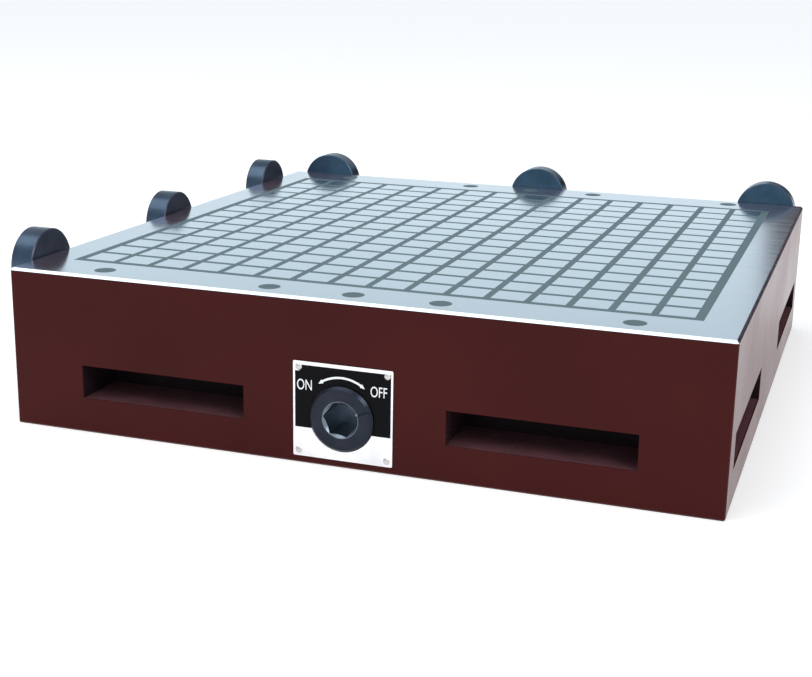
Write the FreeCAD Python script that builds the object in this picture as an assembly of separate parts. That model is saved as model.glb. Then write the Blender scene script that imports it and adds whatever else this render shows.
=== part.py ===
"""Square permanent magnetic chuck, switched on and off with a hex key. Millimetres.

Frame: the origin is the centre of the base face, +X is right, +Y is back, +Z is up.
The front face, with the key socket, looks along -Y. The chuck is drawn switched off.

A fixed pack of poles and magnets fills the window of the top plate. A second pack slides
under it on a tray, one pole pitch along X, driven by a rack and pinion from the key shaft.
"""
import FreeCAD, Part
import math
import os

V = FreeCAD.Vector

# Outside of the chuck
SIDE = 400.0                 # length of each side, square in plan
HEIGHT = 91.0                # base face to working face
PLATE_THICK = 25.0           # top plate
EDGE_CHAMFER = 1.4           # ground chamfer round the working face
CORNER_R = 1.5               # upright corners
BASE_CHAMFER = 1.0

# Pole pattern
PITCH = 22.0                 # pole pitch both ways, and the stroke of the sliding pack
COLUMNS = 16                 # pole bars, side by side along X
ROWS = 15                    # squares along each bar
LINE = 4.0                   # resin line between two poles
BORDER = 5.0                 # resin border round the pole field
FACE_DEPTH = 12.0            # depth of the resin lines
STEM_WIDTH = 16.0            # pole bar below the resin lines
MAGNET_ROWS = 3              # magnet blocks along each bar
MAGNET_GAP = 0.5             # between two blocks in a row

# Toe-clamp pockets: two in each side
POCKET_FLOOR = 20.0
POCKET_ROOF = 39.0
POCKET_DEPTH = 35.0
FRONT_POCKET = (57.0, 156.0)     # from the middle of the front and back faces
SIDE_POCKET = (56.0, 180.0)      # from the middle of the left and right faces

# Cavity of the sliding pack
CAVITY_FLOOR = 46.0
CAVITY_HALF_X = 178.0
CAVITY_HALF_Y = 168.0

# Chambers of the drive, open to the base
CHAMBER_HALF_X = 46.0
CHAMBER_Y = (-140.0, 112.0)
RING_CHAMBER_Y = (140.0, 152.0)
RING_CHAMBER_HALF_X = 20.0
COVER_THICK = 7.5
GASKET_THICK = 0.5
COVER_HALF_X = 62.0
COVER_Y = (-152.0, 164.0)

# Drive shaft, along Y
AXIS_Z = 27.5
SHAFT_R = 9.0
SHAFT_END = 148.0
HUB_R = 18.0
HUB_PROUD = 3.0
HUB_REAR = -174.0
HUB_CHAMFER = 1.5
HUB_CLEARANCE = 0.1
HUB_SHOULDER = -173.7        # end of the hub's bore in the housing
KEY_AF = 17.0                # hex key size
KEY_DEPTH = 20.0
INDEX_WIDTH = 1.3
INDEX_DEPTH = 1.2
INDEX_ANGLE = 23.0           # index groove above the horizontal, switched off
PINION_CENTRES = (-96.0, 70.0)
PINION_LENGTH = 28.0

# Rack and pinion: one pole pitch of travel for half a turn
PINION_TEETH = 10
PINION_R = PITCH / math.pi
MODULE = 2 * PINION_R / PINION_TEETH
PRESSURE_ANGLE = math.radians(25.0)
ADDENDUM = 1.2
DEDENDUM = 1.25 * MODULE
TOOTH_THINNING = 0.12        # backlash taken off each tooth
RACK_WIDTH = 20.0
RACK_X = (-12.0, 34.0)
RACK_TEETH = range(-2, 8)    # tooth numbers, counted from the pinion's centre

# Bushes
BUSH_R = 12.0
BUSH_CLEARANCE = 0.05
FRONT_BUSH_Y = (-172.0, -144.0)
REAR_BUSH_Y = (113.0, 139.0)

# Limit pin and its groove in the back of the hub
LIMIT_R = 14.6
LIMIT_PIN_R = 2.0
LIMIT_CLEARANCE = 0.3
LIMIT_DEPTH = 5.0

# O-ring and retaining ring
SEAL_WIRE_R = 1.2
SEAL_Y = -186.0
RING_Y = (140.3, 141.5)
RING_R = 12.5
RING_GROOVE_R = 8.0

# Sliding pack
TRAY_GAP = 0.1               # under the tray, and beside it
TRAY_FLOOR = 3.0
TRAY_WALL = 3.0
PACK_TOP_GAP = 0.2           # under the separator sheet
SLIDE_COLUMNS = 15
SLIDE_BAR_HALF = 162.0       # half the length of a sliding bar
STRIP_THICK = 2.5
STRIP_WIDTH = 16.0
STRIP_X = (60.0, 170.0)
STRIP_Y = (-120.0, 0.0, 120.0)
GUIDE_GROOVE = 2.0

# Separator sheet
SHEET_THICK = 0.8
SHEET_HALF_X = 182.0
SHEET_HALF_Y = 172.0

# Screws of the top plate, each under a plug
SCREW_X = (-148.0, -48.0, 0.0, 48.0, 148.0)
SCREW_Y = 185.0
SCREW_R = 3.0
SCREW_HOLE_R = 3.3
SCREW_HEAD_R = 5.0
SCREW_HEAD = 6.0
SCREW_LENGTH = 30.0
SCREW_KEY_AF = 5.0
SCREW_KEY_DEPTH = 3.0
PLUG_R = 6.0
PLUG_THICK = 6.0
DOWEL_R = 4.0
DOWEL_PLACES = ((-186.0, 184.0), (186.0, -184.0))

# Seal cord in the housing's rim
CORD_HALF_X = 190.0
CORD_HALF_Y = 176.5
CORD_WIDTH = 3.0
CORD_DEPTH = 2.5

# Base cover
COVER_SCREW_Y = (-140.0, -72.0, 0.0, 80.0, 152.0)
COVER_SCREW_X = 54.5
COVER_SCREW_R = 2.5
COVER_HEAD_R = 4.8
COVER_SCREW_LENGTH = 16.0

# Nameplate
NAMEPLATE_X = (-27.5, 28.5)
NAMEPLATE_Z = (4.3, 56.8)
NAMEPLATE_THICK = 0.8
RIVET_R = 1.25
RIVET_HEAD_R = 1.9
RIVET_HEAD = 1.0
RIVET_INSET = 3.2

# Eccentric disc stops
STOP_R = 21.0
STOP_THICK = 14.0
STOP_SCREW_Z = 76.0
STOP_ECCENTRIC = 8.7         # from a stop's screw to the disc's centre
STOP_GAP = 0.1               # between a disc and the chuck's side
STOP_CHAMFER = 0.6
STOP_BORE_R = 5.05
STOP_COUNTERBORE_R = 8.0
STOP_HEAD = 6.0
STOP_SHOULDER_R = 5.0
STOP_THREAD_R = 4.0
STOP_THREAD_LENGTH = 9.0
STOP_HEAD_R = 7.0
STOP_KEY_AF = 6.0
# Place of each disc's centre along its side, and its turn in degrees from its highest setting
LEFT_STOPS = {"front": (-158.0, 0.0), "middle": (-3.0, 37.5), "rear": (152.0, 0.0)}
BACK_STOPS = {"left": (-172.0, 0.0), "middle": (1.0, 0.0), "right": (173.0, 0.0)}

# Places that follow from the sizes above
HALF = SIDE / 2
PLATE_Z = HEIGHT - PLATE_THICK
FIELD_HALF_X = (COLUMNS * PITCH - LINE) / 2
FIELD_HALF_Y = (ROWS * PITCH - LINE) / 2
WINDOW_HALF_X = FIELD_HALF_X + BORDER
WINDOW_HALF_Y = FIELD_HALF_Y + BORDER
FACE_Z = HEIGHT - FACE_DEPTH
SHEET_Z = PLATE_Z + SHEET_THICK
HUB_FACE = -HALF - HUB_PROUD
TRAY_Z = CAVITY_FLOOR + 0.5 + TRAY_GAP
TRAY_TOP = TRAY_Z + TRAY_FLOOR
TRAY_SHIFT = PITCH / 2       # the tray stands right of the middle when switched off
SLIDE_TOP = PLATE_Z - PACK_TOP_GAP
PITCH_LINE = AXIS_Z + PINION_R
GUIDE_Y = SLIDE_BAR_HALF + TRAY_WALL + TRAY_GAP
COVER_SEAT = COVER_THICK + GASKET_THICK


def block(x, y, z):
    """Box between the two values of each of x, y and z."""
    return Part.makeBox(x[1] - x[0], y[1] - y[0], z[1] - z[0], V(x[0], y[0], z[0]))


def slab(half_x, half_y, z):
    """Box centred on the Z axis."""
    return block((-half_x, half_x), (-half_y, half_y), z)


def along_y(radius, y, x=0.0, z=AXIS_Z):
    return Part.makeCylinder(radius, y[1] - y[0], V(x, y[0], z), V(0, 1, 0))


def along_z(radius, z, x, y):
    return Part.makeCylinder(radius, z[1] - z[0], V(x, y, z[0]))


def cone_z(radius_low, radius_high, z, x, y):
    return Part.makeCone(radius_low, radius_high, z[1] - z[0], V(x, y, z[0]))


def hexagon(across_flats, start, depth, axis, turn=0.0):
    """Hex prism from start along axis, with a corner `turn` degrees from its first side axis."""
    radius = across_flats / math.sqrt(3)
    side = V(1, 0, 0) if abs(axis.x) < 0.5 else V(0, 1, 0)
    up = axis.cross(side)
    corners = []
    for k in range(7):
        angle = math.radians(60 * k + turn)
        corners.append(start + side * (radius * math.cos(angle)) + up * (radius * math.sin(angle)))
    return Part.Face(Part.makePolygon(corners)).extrude(axis * depth)


def upright_edges(shape):
    """Vertical edges at the chuck's four corners."""
    corners = []
    for edge in shape.Edges:
        low = edge.Vertexes[0].Point
        high = edge.Vertexes[-1].Point
        vertical = abs(low.x - high.x) + abs(low.y - high.y) < 1e-6
        if vertical and abs(low.x) > HALF - 1e-6 and abs(low.y) > HALF - 1e-6:
            corners.append(edge)
    return corners


def save(node, solids):
    """Write one node, as a single solid or as a group of separate solids."""
    shape = solids[0] if len(solids) == 1 else Part.makeCompound(solids)
    shape.exportStep(f"parts/{node}.step")
    print(node, len(shape.Solids), "solids, valid:", shape.isValid(), f"{shape.Volume / 1000:.1f} cm3")


def screw_places():
    return [(x, y) for y in (-SCREW_Y, SCREW_Y) for x in SCREW_X]


def cover_screw_places():
    return [(x, y) for y in COVER_SCREW_Y for x in (-COVER_SCREW_X, COVER_SCREW_X)]


def rivet_places():
    """Centres of the nameplate's rivets, in X and Z."""
    return [(x, z)
            for z in (NAMEPLATE_Z[0] + RIVET_INSET, NAMEPLATE_Z[1] - RIVET_INSET)
            for x in (NAMEPLATE_X[0] + RIVET_INSET, NAMEPLATE_X[1] - RIVET_INSET)]


def pockets():
    """The eight toe-clamp pockets, as solids to cut away."""
    z = (POCKET_FLOOR, POCKET_ROOF)
    depth = (HALF - POCKET_DEPTH, HALF + 1)
    cuts = []
    for sign in (-1, 1):
        front = tuple(sorted(sign * value for value in FRONT_POCKET))
        side = tuple(sorted(sign * value for value in SIDE_POCKET))
        for face in (-1, 1):
            inward = tuple(sorted(face * value for value in depth))
            cuts.append(block(front, inward, z))
            cuts.append(block(inward, side, z))
    return cuts


def frame_ring(half_x, half_y, width, z):
    """Rectangular ring on a centre line, of the given width."""
    outer = slab(half_x + width / 2, half_y + width / 2, z)
    return outer.cut(slab(half_x - width / 2, half_y - width / 2, z))


def wear_strip_places():
    """X and Y extents of each strip in the cavity's floor."""
    places = []
    for y in STRIP_Y:
        for sign in (-1, 1):
            x = tuple(sorted(sign * value for value in STRIP_X))
            places.append((x, (y - STRIP_WIDTH / 2, y + STRIP_WIDTH / 2)))
    return places


def wear_strips():
    z = (CAVITY_FLOOR + 0.5 - STRIP_THICK, CAVITY_FLOOR + 0.5)
    return [block(x, y, z) for x, y in wear_strip_places()]


def guide_strips():
    """Strips in the front and back walls of the cavity, beside the tray."""
    z = (TRAY_Z + 2, TRAY_Z + 14)
    x = (-150.0, 150.0)
    return [block(x, (-CAVITY_HALF_Y - GUIDE_GROOVE, -GUIDE_Y), z),
            block(x, (GUIDE_Y, CAVITY_HALF_Y + GUIDE_GROOVE), z)]


def stop_frames():
    """Name, screw's place on the chuck's side, outward direction and disc offset of each stop."""
    sides = (("left", LEFT_STOPS, V(-1, 0, 0), V(0, 1, 0)),
             ("back", BACK_STOPS, V(0, 1, 0), V(1, 0, 0)))
    frames = []
    for side, stops, outward, along in sides:
        for place, (centre, turn) in stops.items():
            angle = math.radians(turn)
            shift = along * (STOP_ECCENTRIC * math.sin(angle))
            screw = outward * HALF + along * centre + V(0, 0, STOP_SCREW_Z) - shift
            offset = shift + V(0, 0, STOP_ECCENTRIC * math.cos(angle))
            frames.append((f"stop_{side}_{place}", screw, outward, offset))
    return frames


def make_housing():
    body = slab(HALF, HALF, (0, PLATE_Z))
    base_edges = [edge for edge in body.Edges if edge.BoundBox.ZMax < 1e-6]
    body = body.makeChamfer(BASE_CHAMFER, base_edges)
    body = body.makeFillet(CORNER_R, upright_edges(body))
    cuts = pockets()
    cuts.append(slab(CAVITY_HALF_X, CAVITY_HALF_Y, (CAVITY_FLOOR, PLATE_Z + 1)))
    cuts += wear_strips() + guide_strips()
    cuts += drive_cuts() + base_cuts()
    cuts.append(frame_ring(CORD_HALF_X, CORD_HALF_Y, CORD_WIDTH, (PLATE_Z - CORD_DEPTH, PLATE_Z + 1)))
    thread_end = FACE_Z - SCREW_LENGTH - 2
    cuts += [along_z(SCREW_R + 0.05, (thread_end, PLATE_Z + 1), x, y) for x, y in screw_places()]
    cuts += [along_z(DOWEL_R, (PLATE_Z - 14, PLATE_Z + 1), x, y) for x, y in DOWEL_PLACES]
    cuts += [along_y(RIVET_R, (-HALF - 1, -HALF + 6), x, z) for x, z in rivet_places()]
    save("housing", [body.cut(cuts)])


def drive_cuts():
    """Bores and chambers of the drive, along the shaft."""
    return [
        block((-CHAMBER_HALF_X, CHAMBER_HALF_X), CHAMBER_Y, (0, CAVITY_FLOOR + 1)),
        block((-RING_CHAMBER_HALF_X, RING_CHAMBER_HALF_X), RING_CHAMBER_Y, (0, CAVITY_FLOOR - 3)),
        along_y(HUB_R + HUB_CLEARANCE, (-HALF - 1, HUB_SHOULDER)),
        along_y(BUSH_R, (HUB_SHOULDER - 1, CHAMBER_Y[0] + 1)),
        along_y(BUSH_R, (CHAMBER_Y[1] - 1, RING_CHAMBER_Y[0] + 1)),
        along_y(LIMIT_PIN_R, (HUB_SHOULDER - 1, HUB_SHOULDER + 10), 0, AXIS_Z - LIMIT_R),
    ]


def base_cuts():
    """Seat and screw holes of the base cover."""
    cuts = [block((-COVER_HALF_X, COVER_HALF_X), COVER_Y, (-1, COVER_SEAT))]
    depth = (0, COVER_SCREW_LENGTH + 2)
    cuts += [along_z(COVER_SCREW_R + 0.05, depth, x, y) for x, y in cover_screw_places()]
    return cuts


def make_top_plate():
    plate = slab(HALF, HALF, (PLATE_Z, HEIGHT))
    top_edges = [edge for edge in plate.Edges if edge.BoundBox.ZMin > HEIGHT - 1e-6]
    plate = plate.makeChamfer(EDGE_CHAMFER, top_edges)
    plate = plate.makeFillet(CORNER_R, upright_edges(plate))
    cuts = [slab(WINDOW_HALF_X, WINDOW_HALF_Y, (PLATE_Z - 1, HEIGHT + 1)),
            slab(SHEET_HALF_X, SHEET_HALF_Y, (PLATE_Z - 1, SHEET_Z))]
    for x, y in screw_places():
        cuts.append(along_z(SCREW_HOLE_R, (PLATE_Z - 1, FACE_Z + 1), x, y))
        cuts.append(along_z(PLUG_R, (FACE_Z, HEIGHT + 1), x, y))
    cuts += [along_z(DOWEL_R, (PLATE_Z - 1, PLATE_Z + 14), x, y) for x, y in DOWEL_PLACES]
    for _, face, outward, _ in stop_frames():
        start = face + outward
        cuts.append(Part.makeCylinder(STOP_THREAD_R + 0.05, STOP_THREAD_LENGTH + 2.5, start, -outward))
    save("top_plate", [plate.cut(cuts)])


def make_pole_bars():
    """T-section bars, cross-grooved from above into squares."""
    cap_half = (PITCH - LINE) / 2
    grooves = []
    for row in range(1, ROWS):
        y = (row - ROWS / 2) * PITCH
        grooves.append(block((-cap_half, cap_half), (y - LINE / 2, y + LINE / 2),
                             (FACE_Z, HEIGHT + 1)))
    cap = block((-cap_half, cap_half), (-FIELD_HALF_Y, FIELD_HALF_Y), (FACE_Z, HEIGHT))
    stem = slab(STEM_WIDTH / 2, FIELD_HALF_Y, (SHEET_Z, FACE_Z))
    bar = cap.fuse(stem).removeSplitter().cut(grooves)
    bars = []
    for column in range(COLUMNS):
        x = (column + 0.5 - COLUMNS / 2) * PITCH
        bars.append(bar.translated(V(x, 0, 0)))
    save("pole_bars", bars)


def make_pole_filler():
    """Resin: a lattice in the grooves and a full-depth border round the pole field."""
    filler = slab(WINDOW_HALF_X, WINDOW_HALF_Y, (SHEET_Z, HEIGHT))
    pole_half_x = (PITCH - LINE) / 2
    pole_half_y = (PITCH - LINE) / 2
    holes = [slab(FIELD_HALF_X, FIELD_HALF_Y, (SHEET_Z - 1, FACE_Z))]
    for column in range(COLUMNS):
        for row in range(ROWS):
            x = (column + 0.5 - COLUMNS / 2) * PITCH
            y = (row + 0.5 - ROWS / 2) * PITCH
            holes.append(block((x - pole_half_x, x + pole_half_x), (y - pole_half_y, y + pole_half_y),
                               (FACE_Z - 1, HEIGHT + 1)))
    save("pole_filler", [filler.cut(holes)])


def magnet_blocks(gap_centres, half_width, half_length, z):
    """Rows of magnet blocks, one row at each gap between two bars."""
    length = (2 * half_length - MAGNET_GAP * (MAGNET_ROWS - 1)) / MAGNET_ROWS
    blocks = []
    for x in gap_centres:
        for row in range(MAGNET_ROWS):
            y = -half_length + row * (length + MAGNET_GAP)
            blocks.append(block((x - half_width, x + half_width), (y, y + length), z))
    return blocks


def make_fixed_pack():
    gaps = [(column - COLUMNS / 2) * PITCH for column in range(1, COLUMNS)]
    width = (PITCH - STEM_WIDTH) / 2
    save("fixed_magnets", magnet_blocks(gaps, width, FIELD_HALF_Y, (SHEET_Z, FACE_Z)))
    save("separator_sheet", [slab(SHEET_HALF_X, SHEET_HALF_Y, (PLATE_Z, SHEET_Z))])


def make_sliding_pack():
    half_width = (SLIDE_COLUMNS * PITCH - (PITCH - STEM_WIDTH)) / 2
    left = TRAY_SHIFT - half_width - TRAY_WALL
    right = TRAY_SHIFT + half_width + TRAY_WALL
    depth = SLIDE_BAR_HALF + TRAY_WALL
    tray = block((left, right), (-depth, depth), (TRAY_Z, SLIDE_TOP - 1))
    hollow = block((left + TRAY_WALL, right - TRAY_WALL), (-SLIDE_BAR_HALF, SLIDE_BAR_HALF),
                   (TRAY_TOP, SLIDE_TOP))
    cuts = [hollow] + rack_screw_solids(0.05)
    save("slide_tray", [tray.cut(cuts)])

    bar = block((-STEM_WIDTH / 2, STEM_WIDTH / 2), (-SLIDE_BAR_HALF, SLIDE_BAR_HALF), (TRAY_TOP, SLIDE_TOP))
    centres = [TRAY_SHIFT + (k - (SLIDE_COLUMNS - 1) / 2) * PITCH for k in range(SLIDE_COLUMNS)]
    save("slide_poles", [bar.translated(V(x, 0, 0)) for x in centres])
    gaps = [x + PITCH / 2 for x in centres[:-1]]
    save("slide_magnets", magnet_blocks(gaps, (PITCH - STEM_WIDTH) / 2, SLIDE_BAR_HALF, (TRAY_TOP, SLIDE_TOP)))
    save("wear_strips", wear_strips())
    save("guide_strips", guide_strips())


def rack_screw_solids(extra=0.0):
    """Countersunk screws down through the tray's floor into the racks."""
    screws = []
    for y in PINION_CENTRES:
        for x in (RACK_X[0] + 8, RACK_X[1] - 8):
            head = cone_z(2 + extra, 4 + extra, (TRAY_TOP - 2, TRAY_TOP), x, y)
            shank = along_z(2 + extra, (TRAY_Z - 7, TRAY_TOP - 1), x, y)
            screws.append(head.fuse(shank).removeSplitter())
    return screws


def rack_outline():
    """Rack section in the XZ plane: straight-sided teeth that point down."""
    tooth = math.pi * MODULE
    half_pitch_line = tooth / 4 - TOOTH_THINNING / 2
    slope = math.tan(PRESSURE_ANGLE)
    half_root = half_pitch_line + DEDENDUM * slope
    half_tip = half_pitch_line - ADDENDUM * slope
    root_z = PITCH_LINE + DEDENDUM
    tip_z = PITCH_LINE - ADDENDUM
    points = [V(RACK_X[0], 0, root_z)]
    for k in RACK_TEETH:
        points.append(V(k * tooth - half_root, 0, root_z))
        points.append(V(k * tooth - half_tip, 0, tip_z))
        points.append(V(k * tooth + half_tip, 0, tip_z))
        points.append(V(k * tooth + half_root, 0, root_z))
    points.append(V(RACK_X[1], 0, root_z))
    points.append(V(RACK_X[1], 0, TRAY_Z))
    points.append(V(RACK_X[0], 0, TRAY_Z))
    points.append(points[0])
    return points


def make_racks():
    face = Part.Face(Part.makePolygon(rack_outline()))
    holes = rack_screw_solids(0.05)
    for place, y in zip(("front", "rear"), PINION_CENTRES):
        bar = face.translated(V(0, y - RACK_WIDTH / 2, 0)).extrude(V(0, RACK_WIDTH, 0))
        save(f"rack_{place}", [bar.cut(holes)])
    save("rack_screws", rack_screw_solids())


def on_circle(radius, angle):
    """Point of the pinion's section, with the angle from +X towards +Z."""
    return V(radius * math.cos(angle), 0, AXIS_Z + radius * math.sin(angle))


def involute(radius):
    """Angle of an involute, from its start on the base circle to a radius."""
    base = PINION_R * math.cos(PRESSURE_ANGLE)
    pressure = math.acos(min(1.0, base / radius))
    return math.tan(pressure) - pressure


def pinion_edges():
    """Closed outline of the pinion: root arcs, involute flanks and tip arcs."""
    base_r = PINION_R * math.cos(PRESSURE_ANGLE)
    tip_r = PINION_R + ADDENDUM
    root_r = PINION_R - DEDENDUM
    step = 2 * math.pi / PINION_TEETH
    half_pitch = step / 4 - TOOTH_THINNING / 2 / PINION_R
    half_base = half_pitch + involute(PINION_R)
    radii = [base_r + (tip_r - base_r) * (k / 5) ** 1.5 for k in range(6)]
    edges = []
    for tooth in range(PINION_TEETH):
        centre = math.pi / 2 + step * (tooth + 0.5)
        rising = [on_circle(r, centre - half_base + involute(r)) for r in radii]
        falling = [on_circle(r, centre + half_base - involute(r)) for r in reversed(radii)]
        root_start = on_circle(root_r, centre - half_base)
        root_end = on_circle(root_r, centre + half_base)
        next_root = on_circle(root_r, centre - half_base + step)
        edges.append(Part.LineSegment(root_start, rising[0]).toShape())
        edges.append(flank(rising))
        edges.append(Part.Arc(rising[-1], on_circle(tip_r, centre), falling[0]).toShape())
        edges.append(flank(falling))
        edges.append(Part.LineSegment(falling[-1], root_end).toShape())
        middle = on_circle(root_r, centre + step / 2)
        edges.append(Part.Arc(root_end, middle, next_root).toShape())
    return edges


def flank(points):
    curve = Part.BSplineCurve()
    curve.interpolate(points)
    return curve.toShape()


def limit_groove():
    """Half-turn groove in the back of the hub, from straight down round the left to straight up."""
    y = (HUB_REAR - LIMIT_DEPTH, HUB_REAR + 1)
    half_width = LIMIT_PIN_R + LIMIT_CLEARANCE
    ring = along_y(LIMIT_R + half_width, y).cut(along_y(LIMIT_R - half_width, y))
    left_half = block((-HUB_R, 0), y, (AXIS_Z - HUB_R, AXIS_Z + HUB_R))
    ends = [along_y(half_width, y, 0, AXIS_Z + sign * LIMIT_R) for sign in (-1, 1)]
    return ring.common(left_half).multiFuse(ends)


def make_drive():
    hub = along_y(HUB_R, (HUB_FACE, HUB_REAR))
    front_edge = [edge for edge in hub.Edges if edge.BoundBox.YMax < HUB_FACE + 1e-6]
    hub = hub.makeChamfer(HUB_CHAMFER, front_edge)
    shaft = along_y(SHAFT_R, (HUB_REAR - 1, SHAFT_END))
    solid = hub.fuse(shaft)

    face_centre = V(0, HUB_FACE, AXIS_Z)
    inward = V(0, 1, 0)
    key_r = KEY_AF / 2
    lead = 1.4
    index = block((key_r - 1, HUB_R + 1), (HUB_FACE - 1, HUB_FACE + INDEX_DEPTH),
                  (AXIS_Z - INDEX_WIDTH / 2, AXIS_Z + INDEX_WIDTH / 2))
    index.rotate(face_centre, inward, -INDEX_ANGLE)
    solid = solid.cut([
        hexagon(KEY_AF, face_centre, KEY_DEPTH, inward, turn=90 - INDEX_ANGLE),
        Part.makeCone(key_r + lead, key_r, lead, face_centre, inward),
        index,
        limit_groove(),
        seal_groove(),
        along_y(SHAFT_R + 1, RING_Y).cut(along_y(RING_GROOVE_R, RING_Y)),
    ])

    pinion = Part.Face(Part.Wire(pinion_edges()))
    for y in PINION_CENTRES:
        ends = (y - PINION_LENGTH / 2, y + PINION_LENGTH / 2)
        toothed = pinion.translated(V(0, ends[0], 0)).extrude(V(0, PINION_LENGTH, 0))
        solid = solid.cut(along_y(SHAFT_R + 1, ends)).fuse(toothed)
    save("drive_shaft", [solid.Solids[0] if len(solid.Solids) == 1 else solid])

    ring_centre = HUB_R - SEAL_WIRE_R
    save("shaft_seal", [Part.makeTorus(ring_centre, SEAL_WIRE_R, V(0, SEAL_Y, AXIS_Z), V(0, 1, 0))])
    ring = along_y(RING_R, RING_Y).cut(along_y(RING_GROOVE_R, RING_Y))
    mouth = block((-4, 4), RING_Y, (AXIS_Z - RING_R - 1, AXIS_Z))
    save("retaining_ring", [ring.cut(mouth)])


def seal_groove():
    y = (SEAL_Y - SEAL_WIRE_R - 0.3, SEAL_Y + SEAL_WIRE_R + 0.3)
    return along_y(HUB_R + 1, y).cut(along_y(HUB_R - 2 * SEAL_WIRE_R, y))


def make_bearings():
    bore = SHAFT_R + BUSH_CLEARANCE
    for node, y in (("front_bush", FRONT_BUSH_Y), ("rear_bush", REAR_BUSH_Y)):
        save(node, [along_y(BUSH_R, y).cut(along_y(bore, y))])
    pin_y = (HUB_REAR - LIMIT_DEPTH + 0.8, HUB_SHOULDER + 10)
    save("limit_pin", [along_y(LIMIT_PIN_R, pin_y, 0, AXIS_Z - LIMIT_R)])


def make_plate_fixings():
    screws = []
    plugs = []
    for x, y in screw_places():
        head = along_z(SCREW_HEAD_R, (FACE_Z, FACE_Z + SCREW_HEAD), x, y)
        shank = along_z(SCREW_R, (FACE_Z - SCREW_LENGTH, FACE_Z), x, y)
        top = V(x, y, FACE_Z + SCREW_HEAD - SCREW_KEY_DEPTH)
        socket = hexagon(SCREW_KEY_AF, top, SCREW_KEY_DEPTH + 1, V(0, 0, 1))
        screws.append(head.fuse(shank).cut(socket))
        plugs.append(along_z(PLUG_R, (HEIGHT - PLUG_THICK, HEIGHT), x, y))
    save("top_screws", screws)
    save("screw_plugs", plugs)
    save("dowel_pins", [along_z(DOWEL_R, (PLATE_Z - 13, PLATE_Z + 13), x, y) for x, y in DOWEL_PLACES])
    cord_z = (PLATE_Z - CORD_DEPTH, PLATE_Z)
    save("housing_seal", [frame_ring(CORD_HALF_X, CORD_HALF_Y, CORD_WIDTH, cord_z)])


def cover_screw_solids(extra=0.0):
    screws = []
    for x, y in cover_screw_places():
        head = cone_z(COVER_HEAD_R + extra, COVER_SCREW_R + extra, (0, COVER_HEAD_R - COVER_SCREW_R), x, y)
        shank = along_z(COVER_SCREW_R + extra, (0, COVER_SCREW_LENGTH), x, y)
        screws.append(head.fuse(shank))
    return screws


def make_base_cover():
    x = (-COVER_HALF_X + 0.2, COVER_HALF_X - 0.2)
    y = (COVER_Y[0] + 0.2, COVER_Y[1] - 0.2)
    clearance = cover_screw_solids(0.3)
    save("base_cover", [block(x, y, (0, COVER_THICK)).cut(clearance)])
    gasket = block(x, y, (COVER_THICK, COVER_SEAT))
    opening = block((-CHAMBER_HALF_X, CHAMBER_HALF_X), (CHAMBER_Y[0], RING_CHAMBER_Y[1]), (0, COVER_SEAT + 1))
    save("base_gasket", [gasket.cut([opening] + clearance)])
    screws = []
    for (px, py), screw in zip(cover_screw_places(), cover_screw_solids()):
        socket = hexagon(3.0, V(px, py, 0), 2.0, V(0, 0, 1))
        screws.append(screw.cut(socket))
    save("base_cover_screws", screws)


def make_nameplate():
    y = (-HALF - NAMEPLATE_THICK, -HALF)
    plate = block(NAMEPLATE_X, y, NAMEPLATE_Z)
    corners = [edge for edge in plate.Edges if edge.BoundBox.YLength > NAMEPLATE_THICK / 2]
    plate = plate.makeFillet(0.8, corners)
    cuts = [along_y(HUB_R + 0.3, (y[0] - 1, y[1] + 1))]
    cuts += [along_y(RIVET_R, (y[0] - 1, y[1] + 1), x, z) for x, z in rivet_places()]
    save("nameplate", [plate.cut(cuts)])
    save("nameplate_rivets", [rivet(x, z, y[0]) for x, z in rivet_places()])


def rivet(x, z, face):
    """Round-head drive rivet, with a domed head in front of the plate."""
    dome_r = (RIVET_HEAD_R ** 2 + RIVET_HEAD ** 2) / (2 * RIVET_HEAD)
    ball = Part.makeSphere(dome_r, V(x, face - RIVET_HEAD + dome_r, z))
    front = block((x - dome_r, x + dome_r), (face - RIVET_HEAD - 1, face), (z - dome_r, z + dome_r))
    return ball.common(front).fuse(along_y(RIVET_R, (face, -HALF + 5), x, z))


def make_stops():
    screws = []
    for node, face, outward, offset in stop_frames():
        inner = face + outward * STOP_GAP
        disc = Part.makeCylinder(STOP_R, STOP_THICK, inner + offset, outward)
        rims = [edge for edge in disc.Edges if len(edge.Vertexes) == 1]
        disc = disc.makeChamfer(STOP_CHAMFER, rims)
        bore = Part.makeCylinder(STOP_BORE_R, STOP_THICK, inner, outward)
        seat = inner + outward * (STOP_THICK - STOP_HEAD - 1)
        counterbore = Part.makeCylinder(STOP_COUNTERBORE_R, STOP_HEAD + 2, seat, outward)
        save(node, [disc.cut([bore, counterbore])])

        shoulder_length = STOP_GAP + STOP_THICK - STOP_HEAD - 1 + 0.1
        shoulder = Part.makeCylinder(STOP_SHOULDER_R, shoulder_length, face, outward)
        thread = Part.makeCylinder(STOP_THREAD_R, STOP_THREAD_LENGTH, face, -outward)
        head_start = face + outward * shoulder_length
        head = Part.makeCylinder(STOP_HEAD_R, STOP_HEAD, head_start, outward)
        key_start = head_start + outward * (STOP_HEAD - 3)
        screw = shoulder.multiFuse([thread, head]).cut(hexagon(STOP_KEY_AF, key_start, 4, outward))
        screws.append(screw)
    save("stop_screws", screws)


os.makedirs("parts", exist_ok=True)
make_housing()
make_top_plate()
make_pole_bars()
make_pole_filler()
make_fixed_pack()
make_sliding_pack()
make_racks()
make_drive()
make_bearings()
make_plate_fixings()
make_base_cover()
make_nameplate()
make_stops()
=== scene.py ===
"""Studio scene of a square permanent magnetic chuck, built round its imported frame. Metres."""

import math

import bpy
from mathutils import Matrix, Vector


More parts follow.
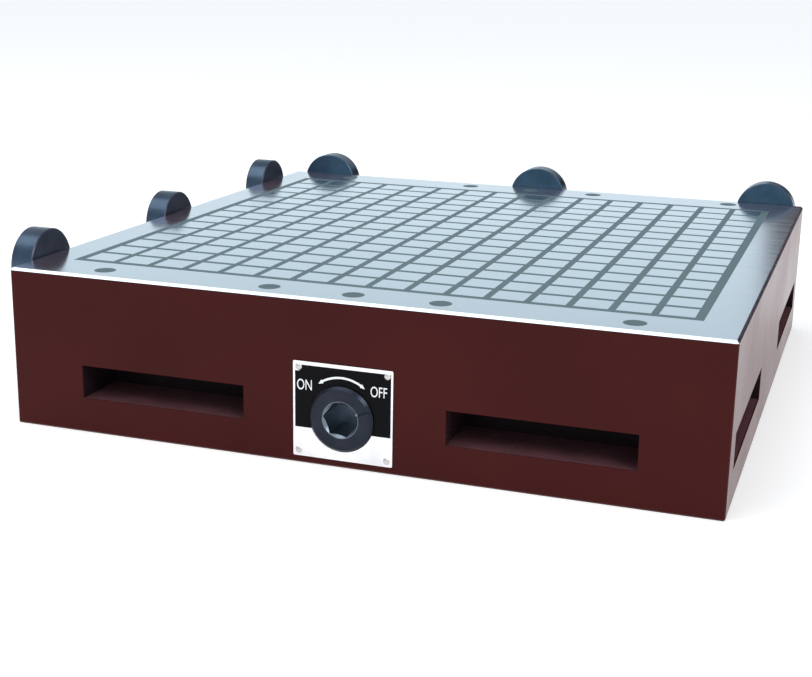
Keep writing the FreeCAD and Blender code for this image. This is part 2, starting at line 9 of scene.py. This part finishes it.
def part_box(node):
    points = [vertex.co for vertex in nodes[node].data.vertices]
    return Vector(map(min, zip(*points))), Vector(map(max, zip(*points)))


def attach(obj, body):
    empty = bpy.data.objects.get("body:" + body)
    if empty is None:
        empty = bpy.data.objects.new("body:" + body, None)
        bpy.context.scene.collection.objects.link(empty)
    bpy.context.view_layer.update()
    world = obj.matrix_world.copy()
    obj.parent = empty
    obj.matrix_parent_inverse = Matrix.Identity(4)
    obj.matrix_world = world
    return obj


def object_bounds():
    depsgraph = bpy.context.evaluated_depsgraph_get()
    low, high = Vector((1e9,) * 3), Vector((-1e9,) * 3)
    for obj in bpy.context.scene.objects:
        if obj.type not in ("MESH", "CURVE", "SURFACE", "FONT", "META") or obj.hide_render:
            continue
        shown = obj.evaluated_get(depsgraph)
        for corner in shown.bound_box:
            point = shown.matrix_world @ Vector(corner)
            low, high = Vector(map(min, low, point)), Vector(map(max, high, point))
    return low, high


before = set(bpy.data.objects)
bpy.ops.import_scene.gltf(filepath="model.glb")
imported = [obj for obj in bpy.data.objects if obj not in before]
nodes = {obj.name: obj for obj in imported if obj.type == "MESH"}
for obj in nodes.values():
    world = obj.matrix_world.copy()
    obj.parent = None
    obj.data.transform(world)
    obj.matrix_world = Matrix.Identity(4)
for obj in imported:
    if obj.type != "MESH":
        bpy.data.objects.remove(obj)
cad_low, cad_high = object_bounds()
scene = bpy.context.scene

MM = 0.001

# Camera: its place, its angles in degrees, its focal length and sensor in millimetres
CAMERA_PLACE = Vector((0.2602, -0.8499, 0.2629))
CAMERA_YAW = 19.13
CAMERA_PITCH = 15.29
CAMERA_ROLL = 0.97
CAMERA_LENS = 62.25
SENSOR_WIDTH = 36
CLIP_START = 0.02

# Colours, as linear values
PAINT = (0.046, 0.0050, 0.0045)
PAINTED_GLANCE_SHEEN = (1.0, 0.30, 0.38)         # painted pink sheen of the enamel at a glancing angle, standing in for light from the right
# Painted light on the pocket floors, and painted shade on the pockets' other inner faces
POCKET_FLOOR_LIGHT = (0.105, 0.045, 0.050)
POCKET_WALL_SHADE = (0.014, 0.009, 0.010)
STEEL = (0.60, 0.70, 0.75)
RESIN = (0.085, 0.135, 0.150)
PLUG = (0.075, 0.115, 0.13)
# Faces of the disc stops: blued metal, tinted by a painted reflection of their own for each way they face
LEFT_DISC_FACE_WITH_REFLECTION = (0.080, 0.080, 0.108)
BACK_DISC_FACE_WITH_REFLECTION = (0.060, 0.105, 0.155)
DISC_RIM = (0.060, 0.088, 0.130)
HUB_BLACK = (0.026, 0.030, 0.042)
SOCKET = (0.16, 0.19, 0.23)
PRINT_BLACK = (0.002, 0.002, 0.003)
PRINT_WHITE = (0.85, 0.86, 0.88)

# Surface of the enamel, apart from its colour and roughness: its IOR, and a painted pink sheen at glancing
# angles that stands in for light from the right
ENAMEL_IOR_AND_PAINTED_SHEEN = {"IOR": 1.19, "Sheen_Weight": 0.09, "Sheen_Roughness": 0.35,
                 "Sheen_Tint": (*PAINTED_GLANCE_SHEEN, 1.0)}

# Plain metals and coats: colour, lowest and highest roughness, how metallic, and their nodes
PLAIN = {
    "bronze": ((0.45, 0.25, 0.09), 0.25, 0.4, 1.0,
               ("front_bush", "rear_bush", "wear_strips", "guide_strips", "separator_sheet")),
    "machined_steel": ((0.50, 0.51, 0.53), 0.28, 0.4, 1.0,
                       ("slide_poles", "rack_front", "rack_rear", "limit_pin", "dowel_pins", "slide_tray")),
    "black_screw": ((0.03, 0.03, 0.035), 0.35, 0.5, 1.0,
                    ("stop_screws", "top_screws", "rack_screws", "base_cover_screws", "retaining_ring")),
    "magnet_block": ((0.10, 0.10, 0.11), 0.5, 0.65, 0.3, ("fixed_magnets", "slide_magnets")),
    "seal_rubber": ((0.015, 0.015, 0.015), 0.6, 0.8, 0.0, ("shaft_seal", "housing_seal", "base_gasket")),
    "cover_coat": ((0.03, 0.03, 0.034), 0.4, 0.55, 0.2, ("base_cover",)),
    "plate_silver": ((0.86, 0.87, 0.90), 0.16, 0.24, 1.0, ("nameplate",)),
    "rivet_metal": ((0.62, 0.60, 0.58), 0.25, 0.35, 1.0, ("nameplate_rivets",)),
}

# Range that most of a noise lies in
NOISE_RANGE = (0.3, 0.7)

# Surroundings: colours at heights given as sines
SKY = ((0.0, (0.95, 1.02, 1.06)), (0.15, (0.90, 1.02, 1.10)),
       (0.30, (0.60, 0.68, 0.75)), (1.0, (0.60, 0.66, 0.71)))

# Dark flag of the surroundings: headings in radians right of +Y, top as a sine, half widths of its edges
FLAG_HEADING = (-0.08, 0.75)
FLAG_HEADING_EDGES = (0.004, 0.02)
FLAG_TOP = 0.24
FLAG_TOP_EDGE = 0.03
FLAG_COLOUR = (0.028, 0.030, 0.042)

# Floor: half its side, its colour and its faint glow
FLOOR_HALF = 30.0
FLOOR_COLOUR = (0.93, 0.89, 0.86)
FLOOR_GLOW = 0.34

# Lamps: place, point that they face, size and watts
LAMPS = {
    "overhead": ((-0.7, -0.65, 1.8), (-0.2, -0.3, 0.05), (2.2, 1.3), 15),
    "right_front": ((1.5, -1.2, 1.5), (0.05, -0.1, 0.03), (0.8, 0.8), 14),
}

# Key socket's axis, and nameplate's face
key_low, key_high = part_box("drive_shaft")
KEY_X = (key_low.x + key_high.x) / 2
KEY_Z = (key_low.z + key_high.z) / 2
HUB_R = (key_high.x - key_low.x) / 2
SOCKET_EDGE = (10.0, 10.3)         # radii between which bare steel gives way to black, in millimetres
PLATE_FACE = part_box("nameplate")[0].y

# Artwork of the nameplate, in millimetres from the middle of the front's lower edge
FIELD_X = (-26.4, 27.4)
FIELD_Z = (20.4, 54.8)
FIELD_NOTCH = (-23.9, 51.4)
FIELD_GAP = 0.3                    # round the hub
WORDS = {"ON": ((-25.2, -16.8), (41.2, 47.0)), "OFF": ((16.2, 25.3), (41.8, 47.5))}
WORD_SIZE = 8.0                    # before it is fitted to its place
ARROW_CENTRE_Z = 29.0
ARROW_R = 21.0
ARROW_SPAN = (59.0, 121.0)         # degrees above +X
ARROW_STROKE = 1.15
ARROW_HEAD = 2.7
FIELD_THICK = 0.06
INK_THICK = 0.04                   # of the white print, which lies on the field

# Painted sides: their top edge, just below the ground chamfer
PAINT_DROP = 1.42                  # millimetres below the working face
top_plate_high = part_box("top_plate")[1]
PAINT_TOP = top_plate_high.z - PAINT_DROP * MM
HALF_SIDE = top_plate_high.x

# Pockets, in millimetres: depth behind the sides where their painted shade and painted light are full, its
# edge, and its lowest heights
POCKET_DEPTH = 0.9
POCKET_EDGE = 0.3
POCKET_HEIGHTS = (10.0, 11.0)


class Graph:
    """Node tree of a material or world, with a short way to add a node and set or link its inputs."""

    def __init__(self, owner):
        owner.use_nodes = True
        self.owner = owner
        self.tree = owner.node_tree

    def add(self, kind, inputs=(), **settings):
        made = self.tree.nodes.new("ShaderNode" + kind)
        for key, value in settings.items():
            setattr(made, key, value)
        self.set(made, inputs)
        return made

    def set(self, target, inputs):
        for key, value in dict(inputs).items():
            if isinstance(value, bpy.types.NodeSocket):
                self.tree.links.new(value, target.inputs[key])
            else:
                target.inputs[key].default_value = value

    def surface(self, **inputs):
        """Set the principled shader's sockets, with _ in place of the space in their names."""
        shader = self.tree.nodes["Principled BSDF"]
        self.set(shader, {key.replace("_", " "): value for key, value in inputs.items()})

    def place(self, kind="Object"):
        """Texture coordinate of a kind: by default the position on the object, in metres."""
        return self.add("TexCoord").outputs[kind]

    def split(self, vector):
        """X, Y and Z of a vector."""
        return self.add("SeparateXYZ", {"Vector": vector}).outputs

    def stretched(self, scale):
        """Position scaled by a different factor along each axis."""
        return self.add("Mapping", {"Vector": self.place(), "Scale": scale}).outputs["Vector"]

    def noise(self, vector, scale=1.0, detail=2.0, roughness=0.5):
        made = self.add("TexNoise", {"Vector": vector, "Scale": scale, "Detail": detail,
                                     "Roughness": roughness})
        return made.outputs["Fac"]

    def span(self, value, low, high, start=0.0, end=1.0):
        """Map a value from start..end to low..high."""
        made = self.add("MapRange", {"Value": value, "From Min": start, "From Max": end,
                                     "To Min": low, "To Max": high})
        return made.outputs["Result"]

    def vary(self, noise, low=0.0, high=1.0):
        """Map a noise's usual range to low..high."""
        return self.span(noise, low, high, *NOISE_RANGE)

    def math(self, operation, a, b=0.0):
        made = self.add("Math", {0: a, 1: b}, operation=operation)
        return made.outputs["Value"]

    def mix(self, factor, a, b):
        """Mix of two colours."""
        made = self.add("Mix", data_type="RGBA")
        self.set(made, {"Factor": factor})
        for socket, value in zip(("A_Color", "B_Color"), (a, b)):
            target = next(s for s in made.inputs if s.identifier == socket)
            if isinstance(value, bpy.types.NodeSocket):
                self.tree.links.new(value, target)
            else:
                target.default_value = rgba(value)
        return next(s for s in made.outputs if s.identifier == "Result_Color")

    def shades(self, factor, colour, low, high):
        """Mix of a darker and a lighter shade of one colour."""
        return self.mix(factor, scaled(colour, low), scaled(colour, high))

    def bump(self, height, strength, distance):
        made = self.add("Bump", {"Height": height, "Strength": strength, "Distance": distance})
        return made.outputs["Normal"]


def material_graph(name):
    return Graph(bpy.data.materials.new(name))


def scaled(colour, factor):
    return tuple(factor * value for value in colour)


def rgba(colour):
    return (*colour, 1.0)


def enamel_nodes(g):
    """Cloudy enamel: its colour and roughness."""
    cloud = g.noise(g.place(), scale=14, detail=4)
    return g.shades(g.vary(cloud), PAINT, 0.90, 1.12), g.vary(cloud, 0.20, 0.28)


def pocket_nodes(g):
    """Where a pocket is, and where its floor is, as factors."""
    place = g.split(g.place())
    wall = HALF_SIDE - POCKET_DEPTH * MM
    edge = wall + POCKET_EDGE * MM
    inside_x = g.span(g.math("ABSOLUTE", place["X"]), 1, 0, wall, edge)
    inside_y = g.span(g.math("ABSOLUTE", place["Y"]), 1, 0, wall, edge)
    low, high = POCKET_HEIGHTS
    above = g.span(place["Z"], 0, 1, low * MM, high * MM)
    inside = g.math("MULTIPLY", g.math("MULTIPLY", inside_x, inside_y), above)
    upward = g.span(g.split(g.place("Normal"))["Z"], 0, 1, 0.4, 0.6)
    return inside, g.math("MULTIPLY", upward, inside)


def paint_material():
    """Glossy enamel with a faint orange peel; the pockets get painted light on their floors and painted
    shade on their other inner faces.
    """
    g = material_graph("maroon_enamel")
    colour, rough = enamel_nodes(g)
    inside, floor = pocket_nodes(g)
    floor_mottle = g.noise(g.place(), scale=55, detail=5, roughness=0.6)
    # Painted shade inside the pockets, then mottled painted light on their floors
    colour = g.mix(inside, colour, POCKET_WALL_SHADE)
    colour = g.mix(floor, colour, g.shades(g.vary(floor_mottle), POCKET_FLOOR_LIGHT, 0.8, 1.2))
    peel = g.noise(g.place(), scale=420, detail=1)
    wave = g.noise(g.place(), scale=45, detail=1)
    height = g.math("ADD", peel, g.math("MULTIPLY", wave, 2.0))
    # The enamel's sheen is a painted pink sheen at glancing angles
    g.surface(Base_Color=colour, Roughness=rough, Normal=g.bump(height, 0.05, 0.3 * MM), **ENAMEL_IOR_AND_PAINTED_SHEEN)
    return g.owner


def steel_nodes(g):
    """Surface-ground steel, with fine lines along X in passes a few millimetres wide."""
    cloud = g.noise(g.place(), scale=9, detail=3)
    lines = g.noise(g.stretched((9, 2600, 9)), detail=2)
    passes = g.noise(g.stretched((1.5, 130, 1.5)), detail=1)
    tone = g.math("ADD", g.vary(cloud, -0.04, 0.04), g.vary(passes, -0.02, 0.02))
    tone = g.math("ADD", tone, g.vary(lines, 0.47, 0.53))
    rough = g.math("ADD", g.vary(lines, -0.02, 0.02), g.vary(passes, 0.13, 0.17))
    return g.shades(tone, STEEL, 0.72, 1.28), rough


def ground_steel():
    g = material_graph("ground_steel")
    colour, rough = steel_nodes(g)
    g.surface(Base_Color=colour, Metallic=1.0, Roughness=rough)
    return g.owner


def top_plate_material():
    """Ground steel above the paint line, enamel on the sides below it."""
    g = material_graph("plate_steel_and_enamel")
    steel, steel_rough = steel_nodes(g)
    paint, paint_rough = enamel_nodes(g)
    height = g.split(g.place())["Z"]
    bare = g.span(height, 0, 1, PAINT_TOP - 0.05 * MM, PAINT_TOP + 0.05 * MM)
    painted = g.math("SUBTRACT", 1.0, bare)
    rough = g.math("ADD", g.math("MULTIPLY", steel_rough, bare), g.math("MULTIPLY", paint_rough, painted))
    # The painted sides carry the enamel's painted pink sheen at glancing angles
    g.surface(Base_Color=g.mix(bare, paint, steel), Metallic=bare, Roughness=rough, **ENAMEL_IOR_AND_PAINTED_SHEEN)
    return g.owner


def resin_material(name, colour):
    """Ground filled resin: mineral specks and slight clouds."""
    g = material_graph(name)
    specks = g.noise(g.place(), scale=2200, detail=2)
    cloud = g.noise(g.place(), scale=60, detail=3)
    tone = g.math("ADD", g.span(specks, 0, 0.4, 0.35, 0.65), g.vary(cloud, 0, 0.6))
    g.surface(Base_Color=g.shades(tone, colour, 0.75, 1.25), Roughness=g.vary(cloud, 0.45, 0.6),
              Specular_IOR_Level=0.35)
    return g.owner


def disc_material(name, axis, face_with_reflection):
    """Blued disc stop: a turned rim, and faces across the given axis in the metal's dark blue tinted by a
    painted reflection that differs with the way they face.
    """
    g = material_graph(name)
    cloud = g.noise(g.place(), scale=70, detail=5, roughness=0.6)
    normal = g.split(g.place("Normal"))[axis]
    face = g.span(g.math("ABSOLUTE", normal), 0, 1, 0.45, 0.55)
    tone = g.vary(cloud)
    rim = g.shades(tone, DISC_RIM, 0.85, 1.15)
    # Faces: the metal's dark blue with a painted reflection
    flat = g.shades(tone, face_with_reflection, 0.8, 1.2)
    rough = g.math("ADD", g.vary(cloud, 0.24, 0.34), g.math("MULTIPLY", face, 0.08))
    g.surface(Base_Color=g.mix(face, rim, flat), Metallic=1.0, Roughness=rough)
    return g.owner


def hub_material():
    """Blackened hub with fine turned rings, and a bare key socket."""
    g = material_graph("hub_black")
    offset = g.add("Mapping", {"Vector": g.place(), "Location": (-KEY_X, 0, -KEY_Z), "Scale": (1, 0, 1)})
    radius = g.add("VectorMath", {0: offset.outputs["Vector"]}, operation="LENGTH").outputs["Value"]
    cloud = g.noise(g.place(), scale=110, detail=4)
    rings = g.add("CombineXYZ", {"X": g.math("MULTIPLY", radius, 2400)}).outputs["Vector"]
    turned = g.noise(rings, detail=1)
    bare = g.span(radius, 1, 0, SOCKET_EDGE[0] * MM, SOCKET_EDGE[1] * MM)
    tone = g.math("ADD", g.vary(cloud, 0, 0.6), g.vary(turned, 0, 0.4))
    black = g.shades(tone, HUB_BLACK, 0.75, 1.25)
    steel = g.shades(tone, SOCKET, 0.8, 1.2)
    g.surface(Base_Color=g.mix(bare, black, steel), Metallic=1.0, Roughness=g.vary(turned, 0.26, 0.36))
    return g.owner


def plain_material(name, colour, low, high, metallic):
    """Plain machined, cast or coated surface, with slight clouds."""
    g = material_graph(name)
    cloud = g.noise(g.place(), scale=90, detail=4)
    g.surface(Base_Color=g.shades(g.vary(cloud), colour, 0.88, 1.1), Metallic=metallic,
              Roughness=g.vary(cloud, low, high))
    return g.owner


def print_material(name, colour, roughness):
    """Silk-screen ink."""
    g = material_graph(name)
    mottle = g.noise(g.place(), scale=900, detail=2)
    g.surface(Base_Color=g.shades(g.vary(mottle), colour, 0.9, 1.1),
              Roughness=g.vary(mottle, roughness, roughness + 0.08), Specular_IOR_Level=0.08)
    return g.owner


def dress(material, *names):
    """Give CAD nodes a material."""
    for name in names:
        mesh = nodes[name].data
        mesh.materials.clear()
        mesh.materials.append(material)


def dress_all():
    dress(paint_material(), "housing")
    dress(top_plate_material(), "top_plate")
    dress(ground_steel(), "pole_bars")
    dress(resin_material("pole_resin", RESIN), "pole_filler")
    dress(resin_material("plug_resin", PLUG), "screw_plugs")
    dress(disc_material("left_discs", "X", LEFT_DISC_FACE_WITH_REFLECTION),
          *[name for name in nodes if name.startswith("stop_left_")])
    dress(disc_material("back_discs", "Y", BACK_DISC_FACE_WITH_REFLECTION),
          *[name for name in nodes if name.startswith("stop_back_")])
    dress(hub_material(), "drive_shaft")
    for name, (colour, low, high, metallic, dressed) in PLAIN.items():
        dress(plain_material(name, colour, low, high, metallic), *dressed)


def flat_piece(name, outline, behind, thick, material):
    """Thin upright piece, drawn as a closed outline of (x, z) in metres, its back at y = behind."""
    curve = bpy.data.curves.new(name, "CURVE")
    curve.dimensions = "2D"
    curve.fill_mode = "BOTH"
    curve.extrude = thick / 2
    spline = curve.splines.new("POLY")
    spline.points.add(len(outline) - 1)
    for point, (x, z) in zip(spline.points, outline):
        point.co = (x, z, 0, 1)
    spline.use_cyclic_u = True
    stand_up(name, curve, behind - thick / 2, material)


def stand_up(name, curve, middle, material):
    """Mesh of a flat curve, stood upright facing the front with its middle at y, riding the chuck."""
    drawn = bpy.data.objects.new(name + "_outline", curve)
    scene.collection.objects.link(drawn)
    bpy.context.view_layer.update()
    graph = bpy.context.evaluated_depsgraph_get()
    mesh = bpy.data.meshes.new_from_object(drawn.evaluated_get(graph))
    bpy.data.objects.remove(drawn)
    mesh.transform(Matrix.Translation((0, middle, 0)) @ Matrix.Rotation(math.radians(90), 4, "X"))
    mesh.materials.clear()
    mesh.materials.append(material)
    piece = bpy.data.objects.new(name, mesh)
    scene.collection.objects.link(piece)
    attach(piece, "base")
    return piece


def polar(radius, degrees, centre_z):
    angle = math.radians(degrees)
    return radius * math.cos(angle), centre_z + radius * math.sin(angle)


def arc(radius, start, end, steps, centre_z):
    """Points along an arc, between two angles in degrees."""
    return [polar(radius, start + (end - start) * k / steps, centre_z) for k in range(steps + 1)]


def make_field(material):
    """Black printed field, cut out round the hub and at the upper left rivet."""
    hole_r = HUB_R + FIELD_GAP * MM
    low_angle = math.degrees(math.asin((FIELD_Z[0] * MM - KEY_Z) / hole_r))
    hole = arc(hole_r, 180 - low_angle, low_angle, 48, KEY_Z)
    corners = [(FIELD_X[1], FIELD_Z[0]), (FIELD_X[1], FIELD_Z[1]), (FIELD_NOTCH[0], FIELD_Z[1]),
               FIELD_NOTCH, (FIELD_X[0], FIELD_NOTCH[1]), (FIELD_X[0], FIELD_Z[0])]
    outline = hole + [(x * MM, z * MM) for x, z in corners]
    flat_piece("name_field", outline, PLATE_FACE, FIELD_THICK * MM, material)


def make_arrow(material):
    """Double-headed curved arrow over the hub."""
    start, end = ARROW_SPAN
    tip = math.degrees(ARROW_HEAD / ARROW_R)
    outer = arc(ARROW_R + ARROW_STROKE / 2, start, end, 24, ARROW_CENTRE_Z)
    inner = arc(ARROW_R - ARROW_STROKE / 2, end, start, 24, ARROW_CENTRE_Z)
    left = [polar(ARROW_R + ARROW_STROKE, end, ARROW_CENTRE_Z), polar(ARROW_R, end + tip, ARROW_CENTRE_Z),
            polar(ARROW_R - ARROW_STROKE, end, ARROW_CENTRE_Z)]
    right = [polar(ARROW_R - ARROW_STROKE, start, ARROW_CENTRE_Z),
             polar(ARROW_R, start - tip, ARROW_CENTRE_Z),
             polar(ARROW_R + ARROW_STROKE, start, ARROW_CENTRE_Z)]
    outline = [(x * MM, z * MM) for x, z in outer + left + inner + right]
    flat_piece("name_arrow", outline, PLATE_FACE - FIELD_THICK * MM, INK_THICK * MM, material)


def fit(mesh, axis, low, high):
    """Stretch a mesh along one axis, to lie between two places in millimetres."""
    places = [vertex.co[axis] for vertex in mesh.vertices]
    start = min(places)
    length = max(places) - start
    for vertex in mesh.vertices:
        share = (vertex.co[axis] - start) / length
        vertex.co[axis] = (low + share * (high - low)) * MM


def make_words(material):
    """ON and OFF, each fitted to its place on the field."""
    middle = PLATE_FACE - (FIELD_THICK + INK_THICK / 2) * MM
    for word, (x_span, z_span) in WORDS.items():
        name = "name_" + word.lower()
        curve = bpy.data.curves.new(name, "FONT")
        curve.body = word
        curve.size = WORD_SIZE * MM
        curve.extrude = INK_THICK / 2 * MM
        piece = stand_up(name, curve, middle, material)
        fit(piece.data, 0, *x_span)
        fit(piece.data, 2, *z_span)


def make_artwork():
    white = print_material("print_white", PRINT_WHITE, 0.5)
    make_field(print_material("print_black", PRINT_BLACK, 0.4))
    make_arrow(white)
    make_words(white)


def make_camera():
    yaw, pitch, roll = (math.radians(a) for a in (CAMERA_YAW, CAMERA_PITCH, CAMERA_ROLL))
    forward = Vector((-math.sin(yaw) * math.cos(pitch), math.cos(yaw) * math.cos(pitch), -math.sin(pitch)))
    level = Vector((math.cos(yaw), math.sin(yaw), 0))
    upright = level.cross(forward)
    right = math.cos(roll) * level + math.sin(roll) * upright
    up = math.cos(roll) * upright - math.sin(roll) * level
    data = bpy.data.cameras.new("camera")
    data.lens = CAMERA_LENS
    data.sensor_width = SENSOR_WIDTH
    data.clip_start = CLIP_START
    camera = bpy.data.objects.new("camera", data)
    rotation = Matrix((right, up, -forward)).transposed()
    camera.matrix_world = Matrix.Translation(CAMERA_PLACE) @ rotation.to_4x4()
    scene.collection.objects.link(camera)
    scene.camera = camera


def make_floor():
    corners = [(x * FLOOR_HALF, y * FLOOR_HALF, cad_low.z) for x, y in ((-1, -1), (1, -1), (1, 1), (-1, 1))]
    mesh = bpy.data.meshes.new("floor")
    mesh.from_pydata(corners, [], [(0, 1, 2, 3)])
    floor = bpy.data.objects.new("floor", mesh)
    scene.collection.objects.link(floor)
    g = material_graph("floor_paper")
    g.surface(Base_Color=rgba(FLOOR_COLOUR), Roughness=1.0, Specular_IOR_Level=0.0,
              Emission_Color=(1.0, 1.0, 1.0, 1.0), Emission_Strength=FLOOR_GLOW)
    mesh.materials.append(g.owner)


def flag_nodes(g, direction):
    """Where the dark flag is, as a factor."""
    left, right = FLAG_HEADING
    left_edge, right_edge = FLAG_HEADING_EDGES
    heading = g.math("ARCTAN2", direction["X"], direction["Y"])
    across = g.math("MULTIPLY", g.span(heading, 0, 1, left - left_edge, left + left_edge),
                    g.span(heading, 1, 0, right - right_edge, right + right_edge))
    below = g.span(direction["Z"], 1, 0, FLAG_TOP - FLAG_TOP_EDGE, FLAG_TOP + FLAG_TOP_EDGE)
    return g.math("MULTIPLY", across, below)


def make_world():
    """Soft surroundings: pale near the horizon, grey blue above, with a dark flag at the right rear."""
    world = bpy.data.worlds.new("studio")
    scene.world = world
    g = Graph(world)
    direction = g.split(g.place("Generated"))
    ramp = g.add("ValToRGB", {"Fac": direction["Z"]})
    elements = ramp.color_ramp.elements
    for k, (at, colour) in enumerate(SKY):
        element = elements[k] if k < 2 else elements.new(at)
        element.position = at
        element.color = rgba(colour)
    sky = g.mix(flag_nodes(g, direction), ramp.outputs["Color"], FLAG_COLOUR)
    g.set(g.tree.nodes["Background"], {"Color": sky})


def make_lamp(name, place, target, size, watts):
    data = bpy.data.lights.new(name, "AREA")
    data.shape = "RECTANGLE"
    data.size, data.size_y = size
    data.energy = watts
    lamp = bpy.data.objects.new(name, data)
    lamp.location = place
    lamp.rotation_euler = (Vector(target) - Vector(place)).to_track_quat("-Z", "Y").to_euler()
    scene.collection.objects.link(lamp)


scene.view_settings.view_transform = "Standard"
dress_all()
make_camera()
make_floor()
make_world()
make_artwork()
for lamp_name, lamp_settings in LAMPS.items():
    make_lamp(lamp_name, *lamp_settings)
